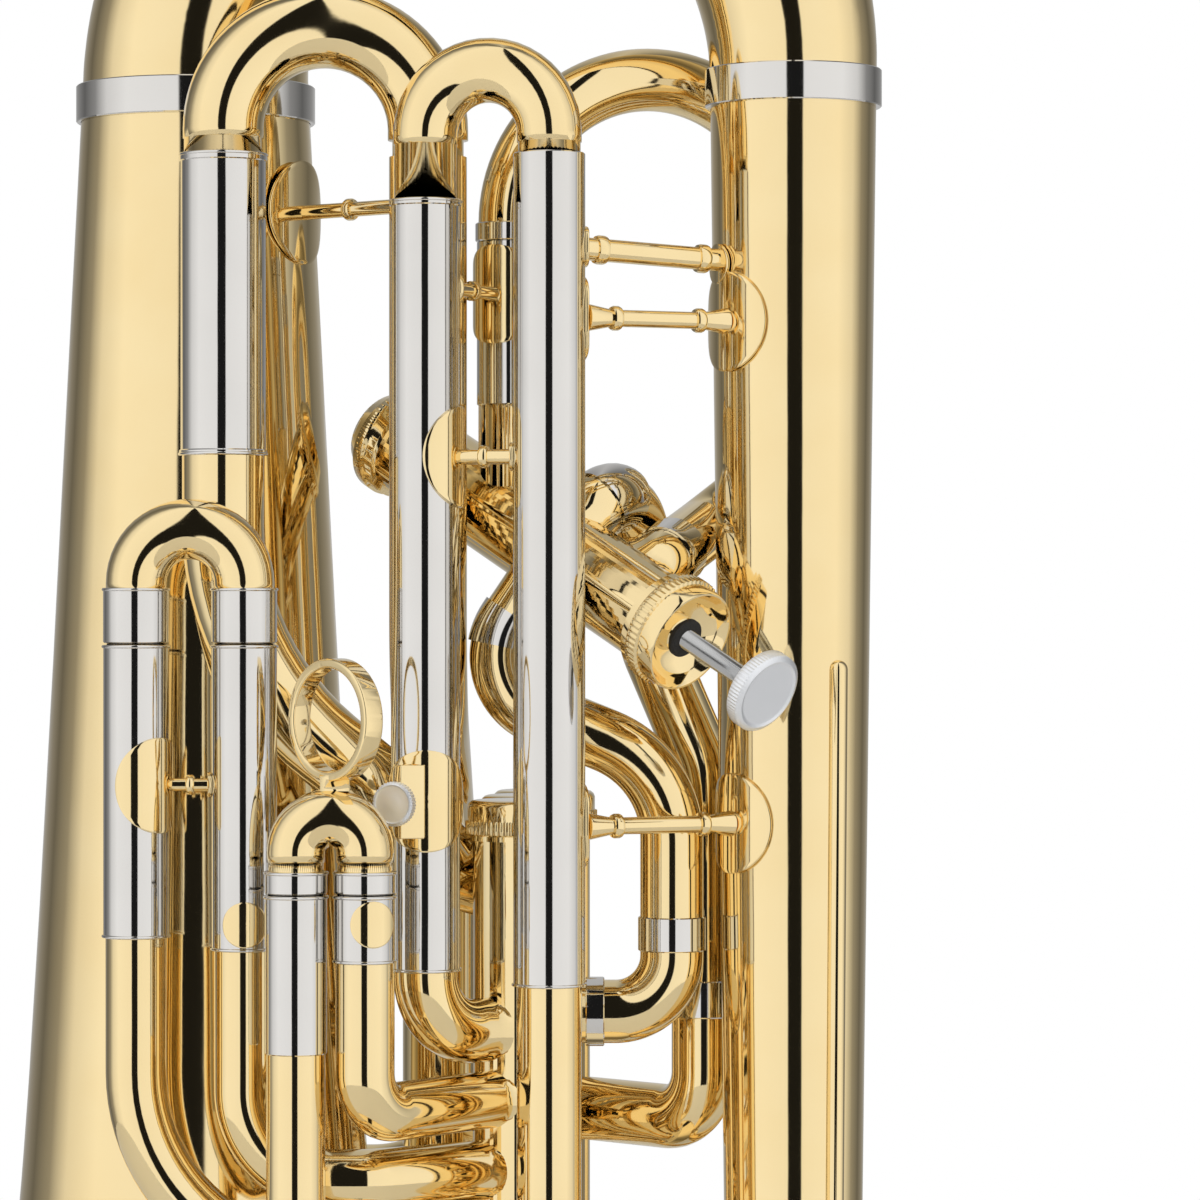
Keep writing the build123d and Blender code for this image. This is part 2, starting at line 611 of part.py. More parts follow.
with BuildPart(Plane(origin=RECEIVER_MOUTH, z_dir=(1, 0, 0))) as mouthpiece_receiver:
    Cylinder(8.6, RECEIVER_LENGTH, align=LOW)
    Cylinder(9.6, 6.0, align=LOW)
    Cylinder(RECEIVER_BORE_R, RECEIVER_LENGTH, align=LOW, mode=Mode.SUBTRACT)
save(mouthpiece_receiver, "mouthpiece_receiver")

# Nickel ferrules where the tubes join
SLEEVE_R = LINK_R + 0.5
front_run = (front_path[1] - front_path[0]).normalized()
branch_run = (branch_path[2] - branch_path[1]).normalized()
with BuildPart() as ferrules:
    add(ring(at(BRANCH_LINK, UPPER_PORT.Z - 6.0), up, LINK_R, LINK_R + 1.0, 12.0))
    add(ring(UPPER_PORT - up * 3.0, up, LINK_R, LINK_R + 1.0, 6.0))
    add(ring(UPPER_PORT - up * (6.0 + 26.5), up, LINK_R, SLEEVE_R, 53.0))
    add(ring(front_path[0] + front_run * 20.5, front_run, LINK_R, LINK_R + 1.0, 8.0))
    add(ring(branch_path[1] + branch_run * 12.0, branch_run, LINK_R, LINK_R + 1.0, 10.0))
    add(ring(Vector(157.2, -50.0, 363.0), up, LINK_R, LINK_R + 0.7, 11.0))
    add(ring(Vector(132.5, -50.0, 338.0), Vector(1, 0, 0), LINK_R, LINK_R + 0.9, 6.0))
    add(ring(Vector(168.0, -22.0, 340.0), up, REAR_LINK_R, REAR_LINK_R + 0.9, 12.0))
    add(ring(bell_top - up * 6.0, up, bell_r(BELL_TOP_Z - 6.0) + 0.4, bell_r(BELL_TOP_Z) + 2.2, 12.0))
    add(ring(branch_top - up * 6.0, up, BRANCH_HEAD_R, BRANCH_HEAD_R + 1.6, 12.0))
save(ferrules, "ferrules")

# Braces: saddle flanges and beaded rods
toward_right = Vector(1, 0, 0)
toward_left = Vector(-1, 0, 0)
front_left = Vector(-0.82, -0.57, 0)
back_right = Vector(0.5, 0.866, 0)
with BuildPart() as branch_braces:
    for brace_z in (558.5, 399.0):
        pad_foot = at(BRANCH, brace_z)
        pad_r = branch_r(brace_z) + 0.3
        add(saddle(pad_foot, up, pad_r, front_left, 16.0))
        add(saddle(at(FOURTH_B, brace_z), up, FOURTH_B_R, back_right, 15.0))
        rod_start = at(FOURTH_B, brace_z) + toward_right * (FOURTH_B_R + 0.6)
        rod_end = pad_foot + front_left * (pad_r + 0.6)
        add(rod(rod_start, rod_end, 2.7, 3.9, (0.2, 0.8), 4.2))
    stay_start = at(FOURTH_B, 581.0)
    stay_end = at(BRANCH, 577.0)
    stay_run = (stay_end - stay_start).normalized()
    stay_pad_r = branch_r(stay_end.Z) + 0.3
    add(saddle(stay_start, up, FOURTH_B_R, stay_run, 6.5))
    add(saddle(stay_end, up, stay_pad_r, -stay_run, 6.5))
    stay_start = stay_start + stay_run * (FOURTH_B_R + 0.6)
    stay_end = stay_end - stay_run * (stay_pad_r + 0.6)
    add(rod(stay_start, stay_end, 3.6, 4.6, (0.12, 0.88)))
    with Locations(Plane(at(FOURTH_B, stay_start.Z - 90.0))):
        Cylinder(FOURTH_B_R + SOLDER, 240.0, mode=Mode.SUBTRACT)
save(branch_braces, "branch_braces")

with BuildPart() as slide_braces:
    brace_z = 515.0
    slide_run = (at(FOURTH_B, brace_z) - at(FOURTH_A, brace_z)).normalized()
    add(saddle(at(FOURTH_A, brace_z), up, FOURTH_A_R, slide_run, 16.0))
    add(saddle(at(FOURTH_B, brace_z), up, FOURTH_B_R, -slide_run, 4.5))
    pad_a = at(FOURTH_A, brace_z) + slide_run * (FOURTH_A_R + 0.6)
    pad_b = at(FOURTH_B, brace_z) - slide_run * (FOURTH_B_R + 0.6)
    add(rod(pad_a, pad_b, 2.4, 3.6, (0.45,)))
    brace_z = 568.5
    upper_axis = Vector(UPPER_PORT.X, UPPER_PORT.Y, brace_z)
    corner_facing = Vector(0.8, 0.6, 0)
    pad_a = at(FOURTH_A, brace_z) + corner_facing * (FOURTH_A_R + 1.2)
    corner_run = (upper_axis - pad_a).normalized()
    add(saddle(at(FOURTH_A, brace_z), up, FOURTH_A_R, corner_facing, 5.0, 1.6))
    add(saddle(upper_axis, up, SLEEVE_R, -corner_run, 16.0))
    add(rod(pad_a, upper_axis - corner_run * (SLEEVE_R + 0.6), 2.2, 3.2, (0.4,)))
save(slide_braces, "slide_braces")

with BuildPart() as left_brace:
    brace_z = 412.0
    add(saddle(at(LEFT_A, brace_z), up, LEFT_R, Vector(0.75, -0.66, 0), 15.0))
    add(saddle(at(LEFT_B, brace_z), up, LEFT_R, toward_left, 4.0))
    pad_a = at(LEFT_A, brace_z) + toward_right * (LEFT_R + 0.6)
    pad_b = at(LEFT_B, brace_z) - toward_right * (LEFT_R + 0.6)
    add(rod(pad_a, pad_b, 2.0, 3.2))
    add(saddle(at(LEFT_B, 368.6), up, LEFT_R, Vector(0.1, -0.995, 0), 7.2))
    add(saddle(at(SMALL_B, 370.4), up, SMALL_R, Vector(0.3, -0.954, 0), 7.2))
save(left_brace, "left_brace")

with BuildPart() as bell_brace:
    brace_z = 597.0
    bell_side = Vector(0.9, -0.436, 0)
    bell_pad_r = bell_r(brace_z - 17.0)
    add(saddle(at((0, 0), brace_z), up, bell_pad_r, bell_side, 17.0))
    rod_start = at((0, 0), brace_z) + bell_side * (bell_pad_r + 0.6)
    rod_run = (at(MAIN_RIGHT, brace_z) - rod_start).normalized()
    add(rod(rod_start, at(MAIN_RIGHT, brace_z) - rod_run * RETURN_R, 2.4, 3.6))
save(bell_brace, "bell_brace")

# Lyre holder on the fourth-valve slide, with its thumb screw
LYRE_CENTRE = Vector(74.7, -92.4, 407.0)
LYRE_BOX = (8.0, 23.0)
SCREW_AXIS = Vector(-0.41, -0.912, 0)
SCREW_HEAD_R = 6.6
SCREW_HEAD_H = 3.2
SCREW_SHANK_R = 1.6
SCREW_SHANK_LENGTH = 8.0
screw_back = Vector(70.8, -95.1, LYRE_CENTRE.Z - 0.4)
with BuildPart() as lyre_holder:
    add(saddle(at(FOURTH_A, LYRE_CENTRE.Z), up, FOURTH_A_R, Vector(0.05, -1, 0), 16.0))
    lyre_depth = FOURTH_A[1] - FOURTH_A_R + 1.0 - LYRE_CENTRE.Y
    with Locations(LYRE_CENTRE + Vector(0, lyre_depth / 2, 0)):
        Box(LYRE_BOX[0], lyre_depth, LYRE_BOX[1])
    with BuildPart(Plane(at(FOURTH_A, LYRE_CENTRE.Z)), mode=Mode.PRIVATE) as slide_core:
        Cylinder(FOURTH_A_R, 60.0)
    add(slide_core.part, mode=Mode.SUBTRACT)
    with BuildPart(Plane(origin=screw_back, z_dir=SCREW_AXIS), mode=Mode.PRIVATE) as screw_hole:
        Cylinder(SCREW_SHANK_R + FIT, 3 * SCREW_SHANK_LENGTH)
    add(screw_hole.part, mode=Mode.SUBTRACT)
save(lyre_holder, "lyre_holder")

with BuildPart(Plane(origin=screw_back, z_dir=SCREW_AXIS)) as lyre_screw:
    with BuildSketch(Plane(origin=screw_back, z_dir=SCREW_AXIS)):
        Circle(SCREW_HEAD_R)
        with PolarLocations(SCREW_HEAD_R + 0.2, 30):
            Circle(0.4, mode=Mode.SUBTRACT)
    extrude(amount=SCREW_HEAD_H)
    shank_top = (Align.CENTER, Align.CENTER, Align.MAX)
    Cylinder(SCREW_SHANK_R, SCREW_SHANK_LENGTH, align=shank_top)
save(lyre_screw, "lyre_screw")
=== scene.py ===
import bpy
import json
from math import atan2, cos, degrees, pi, radians, sin, tan
from mathutils import Matrix, Vector


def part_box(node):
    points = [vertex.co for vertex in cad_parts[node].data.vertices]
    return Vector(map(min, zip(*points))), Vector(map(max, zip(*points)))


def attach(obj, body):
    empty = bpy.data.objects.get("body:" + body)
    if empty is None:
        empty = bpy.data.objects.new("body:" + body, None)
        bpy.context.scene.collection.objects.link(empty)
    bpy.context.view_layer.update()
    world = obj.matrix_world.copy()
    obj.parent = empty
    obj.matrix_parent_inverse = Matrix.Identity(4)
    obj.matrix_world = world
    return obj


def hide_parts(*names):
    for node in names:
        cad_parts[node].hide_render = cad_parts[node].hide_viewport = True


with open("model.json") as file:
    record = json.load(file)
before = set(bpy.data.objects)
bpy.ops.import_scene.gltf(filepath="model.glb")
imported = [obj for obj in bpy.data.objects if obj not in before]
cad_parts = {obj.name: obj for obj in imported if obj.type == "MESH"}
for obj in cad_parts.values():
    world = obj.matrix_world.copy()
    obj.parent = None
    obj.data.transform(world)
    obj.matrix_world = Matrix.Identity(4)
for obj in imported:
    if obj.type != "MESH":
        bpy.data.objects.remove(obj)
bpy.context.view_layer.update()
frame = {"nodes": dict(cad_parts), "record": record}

MM = 0.001

# Lacquered yellow brass. Every bow, branch and casing is drawn from this sheet,
# mirror polished, then sprayed with clear lacquer that hazes and speckles a little.


class Value:
    """A number socket that does arithmetic by adding Math nodes."""

    def __init__(self, finish, socket):
        self.finish = finish
        self.socket = socket

    def _math(self, operation, first, second):
        node = self.finish.node("ShaderNodeMath", {"operation": operation}, {0: first, 1: second})
        return Value(self.finish, node.outputs[0])

    def __add__(self, other):
        return self._math("ADD", self, other)

    __radd__ = __add__

    def __mul__(self, other):
        return self._math("MULTIPLY", self, other)

    __rmul__ = __mul__

    def __sub__(self, other):
        return self._math("SUBTRACT", self, other)

    def __rsub__(self, other):
        return self._math("SUBTRACT", other, self)


class Finish:
    """A material whose nodes are added one at a time and linked by value."""

    def __init__(self, name):
        self.material = bpy.data.materials.new(name)
        self.material.use_nodes = True
        self.tree = self.material.node_tree
        self.shader = self.tree.nodes["Principled BSDF"]
        self.place = self.node("ShaderNodeTexCoord").outputs["Object"]

    def set(self, socket, value):
        """Links a socket, or sets its constant."""
        if isinstance(value, Value):
            value = value.socket
        if isinstance(value, bpy.types.NodeSocket):
            self.tree.links.new(value, socket)
        else:
            socket.default_value = value

    def node(self, kind, settings=None, inputs=None, stops=None):
        """Adds a node with its settings, ramp stops and input values."""
        made = self.tree.nodes.new(kind)
        for key, setting in (settings or {}).items():
            setattr(made, key, setting)
        for index, (position, colour) in enumerate(stops or ()):
            if index > 1:
                made.color_ramp.elements.new(position)
            made.color_ramp.elements[index].position = position
            made.color_ramp.elements[index].color = colour
        for key, value in (inputs or {}).items():
            self.set(made.inputs[key], value)
        return made

    def noise(self, scale, detail=3.0):
        """Soft noise over the piece, as a number."""
        made = self.node("ShaderNodeTexNoise", None, {"Vector": self.place, "Scale": scale, "Detail": detail})
        return Value(self, made.outputs["Fac"])

    def blend(self, factor, first, second):
        """Colour between two colours."""
        made = self.node("ShaderNodeMix", {"data_type": "RGBA"}, {0: factor, 6: first, 7: second})
        return made.outputs[2]

    def bump(self, height, strength, depth):
        """Surface relief from a height."""
        made = self.node("ShaderNodeBump", None, {"Height": height, "Strength": strength, "Distance": depth})
        self.set(self.shader.inputs["Normal"], made.outputs["Normal"])


def polished_metal(name, colour, shade, roughness, coat, metallic=1.0):
    """Mirror-polished metal with faint hazing, fingermarks and polishing ripple."""
    finish = Finish(name)
    haze = finish.noise(38.0)
    speck = finish.noise(900.0, 1.0)
    ripple = finish.noise(55.0, 1.0)
    finish.set(finish.shader.inputs["Base Color"], finish.blend(haze, colour, shade))
    finish.set(finish.shader.inputs["Metallic"], metallic)
    finish.set(finish.shader.inputs["Roughness"], roughness + 0.05 * haze + 0.03 * speck)
    finish.set(finish.shader.inputs["Coat Weight"], coat)
    finish.set(finish.shader.inputs["Coat Roughness"], 0.04)
    finish.bump(ripple, 0.10, 0.0006)
    return finish.material


brass = polished_metal("lacquered_brass", (0.97, 0.79, 0.45, 1), (0.93, 0.72, 0.37, 1), 0.02, 0.25)
nickel = polished_metal("nickel_silver", (0.79, 0.77, 0.74, 1), (0.72, 0.70, 0.67, 1), 0.02, 0.0)
steel = polished_metal("satin_steel", (0.62, 0.62, 0.61, 1), (0.50, 0.50, 0.50, 1), 0.16, 0.0)


def alone(piece):
    """Leaves one object selected and active."""
    bpy.ops.object.select_all(action="DESELECT")
    piece.select_set(True)
    bpy.context.view_layer.objects.active = piece


def settle(piece, body, material, slot, *nodes):
    """Gives a finished piece its place in the mesh, its metal and its body."""
    alone(piece)
    bpy.ops.object.transform_apply(location=True, rotation=True, scale=True)
    piece.data.materials.clear()
    piece.data.materials.append(material)
    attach(piece, body)
    if nodes:
        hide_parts(*nodes)


def drawn_copy(node, body, material, slot):
    """One drawn, planished piece: the pressed shape with its facets burnished smooth."""
    source = frame["nodes"][node]
    piece = bpy.data.objects.new(node + "_metal", source.data.copy())
    bpy.context.scene.collection.objects.link(piece)
    alone(piece)
    bpy.ops.object.mode_set(mode="EDIT")
    bpy.ops.mesh.select_all(action="SELECT")
    bpy.ops.mesh.remove_doubles(threshold=0.00001)
    bpy.ops.object.mode_set(mode="OBJECT")
    bpy.ops.object.shade_smooth_by_angle(angle=radians(32))
    settle(piece, body, material, slot, node)
    return piece


body_of = {}
for body_name, body_nodes in frame["record"]["behaviour"]["bodies"].items():
    for node_name in body_nodes:
        body_of[node_name] = body_name

slot_of = {part["node"]: part["material_slot"] for part in frame["record"]["subparts"]}
metal_of = {"lacquered_brass": brass, "nickel_silver": nickel, "monel": steel, "silver_plate": nickel}
MADE_APART = {
    "valve_1_bottom_cap", "valve_2_bottom_cap", "valve_3_bottom_cap",
    "valve_4_front_cap", "valve_4_button", "lyre_screw", "lyre_holder",
    "main_slide_receiver", "fourth_slide_receivers", "left_slide_receivers", "small_slide_receivers",
    "ferrules", "branch_braces", "slide_braces", "left_brace", "bell_brace",
    "return_tube", "diagonal_tube", "fourth_slide_elbows", "left_slide_bends", "small_slide_bends",
    "front_link", "rear_link", "branch_link",
}
for node_name in frame["nodes"]:
    if node_name not in MADE_APART:
        part_slot = slot_of[node_name]
        drawn_copy(node_name, body_of[node_name], metal_of[part_slot], part_slot)

# Bottom caps of valves 1 to 3. Each is turned from brass bar, with a knurled grip
# between two plain shoulders and a flat polished face.
KNURLS = 60


def turned(name, rings, centre, axis, sides=96):
    """A lathe-turned piece from its rings, each a radius and a height in millimetres."""
    bpy.ops.object.select_all(action="DESELECT")
    rings = [(ring_r * MM, ring_h * MM) for ring_r, ring_h in rings]
    first_r, first_h = rings[0]
    fill = "NOTHING" if rings[0] == rings[-1] else "NGON"
    bpy.ops.mesh.primitive_circle_add(
        vertices=sides, radius=first_r, fill_type=fill, location=(0, 0, first_h))
    piece = bpy.context.object
    piece.name = name
    bpy.ops.object.transform_apply(location=True)
    bpy.ops.object.mode_set(mode="EDIT")
    bpy.ops.mesh.select_all(action="SELECT")
    last_r, last_h = first_r, first_h
    for ring_r, ring_h in rings[1:]:
        bpy.ops.mesh.extrude_region_move(TRANSFORM_OT_translate={"value": (0, 0, ring_h - last_h)})
        share = ring_r / last_r
        bpy.ops.transform.resize(value=(share, share, 1))
        last_r, last_h = ring_r, ring_h
    bpy.ops.mesh.select_all(action="SELECT")
    bpy.ops.mesh.remove_doubles(threshold=0.000001)
    bpy.ops.mesh.normals_make_consistent(inside=False)
    bpy.ops.object.mode_set(mode="OBJECT")
    turn = Vector((0, 0, 1)).rotation_difference(Vector(axis)).to_matrix().to_4x4()
    piece.data.transform(Matrix.Translation(Vector(centre)) @ turn)
    alone(piece)
    bpy.ops.object.shade_smooth_by_angle(angle=radians(35))
    return piece


def knurl(piece, centre, axis, low, high, inner, depth, count):
    """Presses a straight knurl between two heights, outside a radius, all in millimetres."""
    centre = Vector(centre)
    axis = Vector(axis).normalized()
    side = axis.orthogonal().normalized()
    other = axis.cross(side)
    for vertex in piece.data.vertices:
        offset = vertex.co - centre
        height = offset.dot(axis)
        across = offset - height * axis
        if low * MM < height < high * MM and across.length > inner * MM:
            angle = atan2(across.dot(other), across.dot(side))
            vertex.co += across.normalized() * depth * MM * (0.5 + 0.5 * cos(count * angle))


for number in (1, 2, 3):
    low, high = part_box(f"valve_{number}_bottom_cap")
    cap_axis = ((low[0] + high[0]) / 2, (low[1] + high[1]) / 2, low[2])
    cap_r = (high[0] - low[0]) / 2 / MM
    cap_rings = [
        (cap_r - 1.9, 0), (cap_r - 1.9, 1.6), (cap_r - 0.7, 2.0), (cap_r - 0.7, 2.3),
        (cap_r - 0.7, 4.3), (cap_r - 0.7, 6.2), (cap_r - 0.9, 6.5), (cap_r - 0.9, 10.8),
        (cap_r - 1.3, 11.8), (cap_r - 2.2, 12.6), (cap_r - 3.2, 12.9), (cap_r - 9.0, 12.9),
    ]
    cap = turned(f"valve_{number}_cap_turned", cap_rings, cap_axis, (0, 0, 1), 4 * KNURLS)
    knurl(cap, cap_axis, (0, 0, 1), 2.2, 6.3, cap_r - 1.2, 0.6, KNURLS)
    settle(cap, "horn", brass, "lacquered_brass", f"valve_{number}_bottom_cap")

# Front cap of valve 4: a deep turned dish with a knurled skirt. The stem comes out
# through a centre boss, which carries a dark felt ring to quiet the button.
fourth_back = Vector((62.2, 4.9, 525.7)) * MM
fourth_front = Vector((162.5, -89.0, 456.9)) * MM
fourth_axis = (fourth_front - fourth_back).normalized()
dish_rings = [
    (17.0, 0), (17.0, 2.6), (17.8, 3.0), (17.8, 3.4), (17.8, 5.4), (17.8, 7.4), (17.1, 7.8), (17.0, 13.2),
    (16.7, 13.9), (16.1, 13.9), (15.6, 13.2), (14.8, 10.5), (12.4, 6.6), (9.0, 5.1), (6.4, 5.0), (6.0, 5.4),
    (6.0, 9.4), (5.5, 9.9), (3.4, 9.9), (3.3, 0.2),
]
DISH_LENGTH = 14.0 * MM
dish_foot = fourth_front - fourth_axis * DISH_LENGTH
dish = turned("valve_4_front_cap_turned", dish_rings, dish_foot, fourth_axis, 4 * KNURLS)
knurl(dish, dish_foot, fourth_axis, 3.2, 7.6, 17.5, 0.5, KNURLS)
settle(dish, "horn", brass, "lacquered_brass", "valve_4_front_cap")

felt = Finish("black_felt")
fibre = felt.noise(2400.0, 2.0)
soot, dust = (0.015, 0.014, 0.014, 1), (0.05, 0.048, 0.045, 1)
felt.set(felt.shader.inputs["Base Color"], felt.blend(fibre, soot, dust))
felt.set(felt.shader.inputs["Roughness"], 0.85 + 0.1 * fibre)
felt.bump(fibre, 0.6, 0.0004)


def felt_washer(name, centre, axis, outer, inner, thick):
    """A punched felt ring, its edges a little rounded, in millimetres."""
    soft = 0.25 * thick
    rings = [
        (inner, 0), (outer - soft, 0), (outer, soft), (outer, thick - soft), (outer - soft, thick),
        (inner, thick), (inner, 0.02 * thick),
    ]
    return turned(name, rings, centre, axis, 64)


BOSS_DEPTH = 4.0 * MM
washer = felt_washer("valve_4_felt", fourth_front - fourth_axis * BOSS_DEPTH, fourth_axis, 6.4, 3.4, 2.4)
settle(washer, "horn", felt.material, "lacquered_brass")

# Finger button of valve 4: silver plated, with a fine knurl round its edge and a
# flat pale face. It screws on the stem.
STEM_OUT = 30.5 * MM
BUTTON_KNURLS = 72
button_back = fourth_front + fourth_axis * STEM_OUT
button_rings = [
    (5.0, -1.6), (6.4, -0.6), (12.3, 0), (12.8, 0.4), (12.8, 0.7), (12.8, 2.6), (12.8, 4.5), (12.5, 4.9),
    (11.9, 5.3), (11.3, 5.5), (10.8, 5.3), (10.4, 5.1), (10.0, 5.1), (5.0, 5.1), (0.5, 5.1),
]
button = turned("valve_4_button_turned", button_rings, button_back, fourth_axis, 4 * BUTTON_KNURLS)
knurl(button, button_back, fourth_axis, 0.5, 4.7, 12.0, 0.35, BUTTON_KNURLS)
plate, tarnish = (0.93, 0.94, 0.96, 1), (0.87, 0.89, 0.92, 1)
silver = polished_metal("silver_plate", plate, tarnish, 0.30, 0.0, 0.7)
settle(button, "valve_4_moving", silver, "silver_plate", "valve_4_button")

# Thumb screw of the lyre holder: a small silver head, coined round its edge, with a
# shallow turned dish in its face.
screw_axis = Vector((-0.41, -0.912, 0)).normalized()
screw_back = Vector((70.8, -95.1, 406.6)) * MM
SCREW_KNURLS = 40
screw_rings = [
    (1.6, -8.0), (1.6, 0), (6.3, 0), (6.7, 0.3), (6.7, 0.5), (6.7, 1.6), (6.7, 2.7), (6.4, 3.0),
    (6.0, 3.2), (5.7, 3.0), (5.4, 2.9), (2.6, 2.9), (0.4, 2.9),
]
screw = turned("lyre_screw_turned", screw_rings, screw_back, screw_axis, 4 * SCREW_KNURLS)
knurl(screw, screw_back, screw_axis, 0.2, 2.8, 6.5, 0.3, SCREW_KNURLS)
settle(screw, "lyre_screw_body", silver, "silver_plate", "lyre_screw")

# Slide receivers: straight nickel silver tubes, faced and chamfered at both ends. A
# pair of legs is one node, so its sleeves are joined.


def gather(pieces):
    """Joins finished shapes into the first of them."""
    bpy.ops.object.select_all(action="DESELECT")
    for piece in pieces:
        piece.select_set(True)
    bpy.context.view_layer.objects.active = pieces[0]
    if len(pieces) > 1:
        bpy.ops.object.join()
    return bpy.context.object


def sleeve(name, foot, run, length, outer, inner, edge=0.35):
    """A faced sleeve from its foot, in millimetres, with its outer edges broken."""
    rings = [(inner, 0), (outer - edge, 0), (outer, edge), (outer, length - edge),
             (outer - edge, length), (inner, length), (inner, 0)]
    return turned(name, rings, Vector(foot) * MM, run, 128)


UP = Vector((0, 0, 1))
WALL = 1.0
MAIN_LEG = (13.8, -57.0)
FOURTH_LEG_A = (79.1, -76.0)
FOURTH_LEG_B = (118.2, -85.0)
LEFT_LEG_A = (-11.5, -82.0)
LEFT_LEG_B = (22.4, -82.0)
SMALL_LEG_A = (40.2, -106.5)
SMALL_LEG_B = (61.6, -106.5)
receivers = {
    "main_slide_receiver": [
        (MAIN_LEG, 516.0, 612.0, 13.6), (MAIN_LEG, 516.0, 518.0, 14.1), (MAIN_LEG, 609.9, 611.9, 14.1)],
    "fourth_slide_receivers": [
        (FOURTH_LEG_A, 353.0, 596.0, 10.9), (FOURTH_LEG_A, 594.0, 596.0, 11.4),
        (FOURTH_LEG_B, 349.0, 610.0, 11.3)],
    "left_slide_receivers": [(LEFT_LEG_A, 364.0, 456.0, 10.3), (LEFT_LEG_B, 360.0, 456.0, 10.3)],
    "small_slide_receivers": [(SMALL_LEG_A, 330.0, 379.0, 9.65), (SMALL_LEG_B, 358.0, 379.0, 9.65)],
}
for receiver, sleeves in receivers.items():
    bore = min(sleeve_r for _, _, _, sleeve_r in sleeves) - WALL
    made = [sleeve(receiver + "_turned", (*leg, foot), UP, mouth - foot, outer, bore)
            for leg, foot, mouth, outer in sleeves]
    settle(gather(made), "horn", nickel, "nickel_silver", receiver)

# Nickel bands at the feet of the two short slide bows. They pull out with the bows,
# and meet the receivers at a thin dark line.
bands = (
    ("left_slide_body", LEFT_LEG_A, 456.5, 17.0, 10.35, 9.3),
    ("left_slide_body", LEFT_LEG_B, 456.5, 17.0, 10.35, 9.3),
    ("small_slide_body", SMALL_LEG_A, 379.4, 6.6, 9.7, 8.6),
    ("small_slide_body", SMALL_LEG_B, 379.4, 6.6, 9.7, 8.6),
)
for band_body, leg, band_foot, band_length, band_r, band_bore in bands:
    band = sleeve("slide_band", (*leg, band_foot), UP, band_length, band_r, band_bore)
    settle(band, band_body, nickel, "nickel_silver")

# Bent tubes between the valves and the slides. Each is drawn round its path in one
# piece, and its ends are coped to the valve casings.
VALVE_1 = (108.7, -50.0)
VALVE_2 = (112.0, -12.0)
VALVE_3 = (115.3, 26.0)
ARC_STEP = 4.0


def bent(points, radii, step=3.0):
    """Close points, in millimetres, along straight runs joined by arcs."""
    corners = [Vector(point) for point in points]
    path = [corners[0]]
    for before, corner, after, radius in zip(corners, corners[1:], corners[2:], radii):
        back = (before - corner).normalized()
        onward = (after - corner).normalized()
        half = (pi - back.angle(onward)) / 2
        reach = radius * tan(half)
        centre = corner + (back + onward).normalized() * radius / cos(half)
        start = corner + back * reach - centre
        end = corner + onward * reach - centre
        count = max(3, int(degrees(2 * half) / ARC_STEP))
        path += [centre + radius * start.slerp(end, index / count) for index in range(count + 1)]
    path.append(corners[-1])
    close = [path[0]]
    for point in path[1:]:
        parts = max(1, int((point - close[-1]).length / step))
        last = close[-1]
        close += [last.lerp(point, index / parts) for index in range(1, parts + 1)]
    return close


def pipe(name, path, radius, casings=(), wall=WALL):
    """A drawn tube along a path, coped to each casing it meets."""
    curve = bpy.data.curves.new(name, "CURVE")
    curve.dimensions = "3D"
    line = curve.splines.new("POLY")
    line.points.add(len(path) - 1)
    for point, place in zip(line.points, path):
        point.co = (*(place * MM), 1)
    curve.bevel_depth = radius * MM
    curve.bevel_resolution = 14
    piece = bpy.data.objects.new(name, curve)
    bpy.context.scene.collection.objects.link(piece)
    alone(piece)
    bpy.ops.object.convert(target="MESH")
    piece = bpy.context.object
    piece.modifiers.new("wall", "SOLIDIFY").thickness = wall * MM
    bpy.ops.object.modifier_apply(modifier="wall")
    for foot, run, length, seat_r in casings:
        for vertex in piece.data.vertices:
            offset = vertex.co - foot
            height = offset.dot(run)
            across = offset - run * height
            if 0 < height < length and across.length < seat_r:
                vertex.co += across.normalized() * (seat_r - across.length)
    bpy.ops.object.shade_smooth_by_angle(angle=radians(40))
    return piece


def casing(place):
    """Foot, direction, length and seat radius of one of the upright valves."""
    return Vector((*place, 212.0)) * MM, UP, 195.0 * MM, 15.2 * MM


FOURTH = (fourth_back, fourth_axis, 153.7 * MM, 14.8 * MM)


def short_of(place, height, start, reach=11.0):
    """Point a little before a valve's axis on the way from another point."""
    end = Vector((*place, height))
    return end + (Vector(start) - end).normalized() * reach


def on_fourth(distance, start, reach=10.0):
    """Point a little before the fourth valve's axis on the way from another point."""
    end = (fourth_back / MM) + fourth_axis * distance
    return end + (Vector(start) - end).normalized() * reach


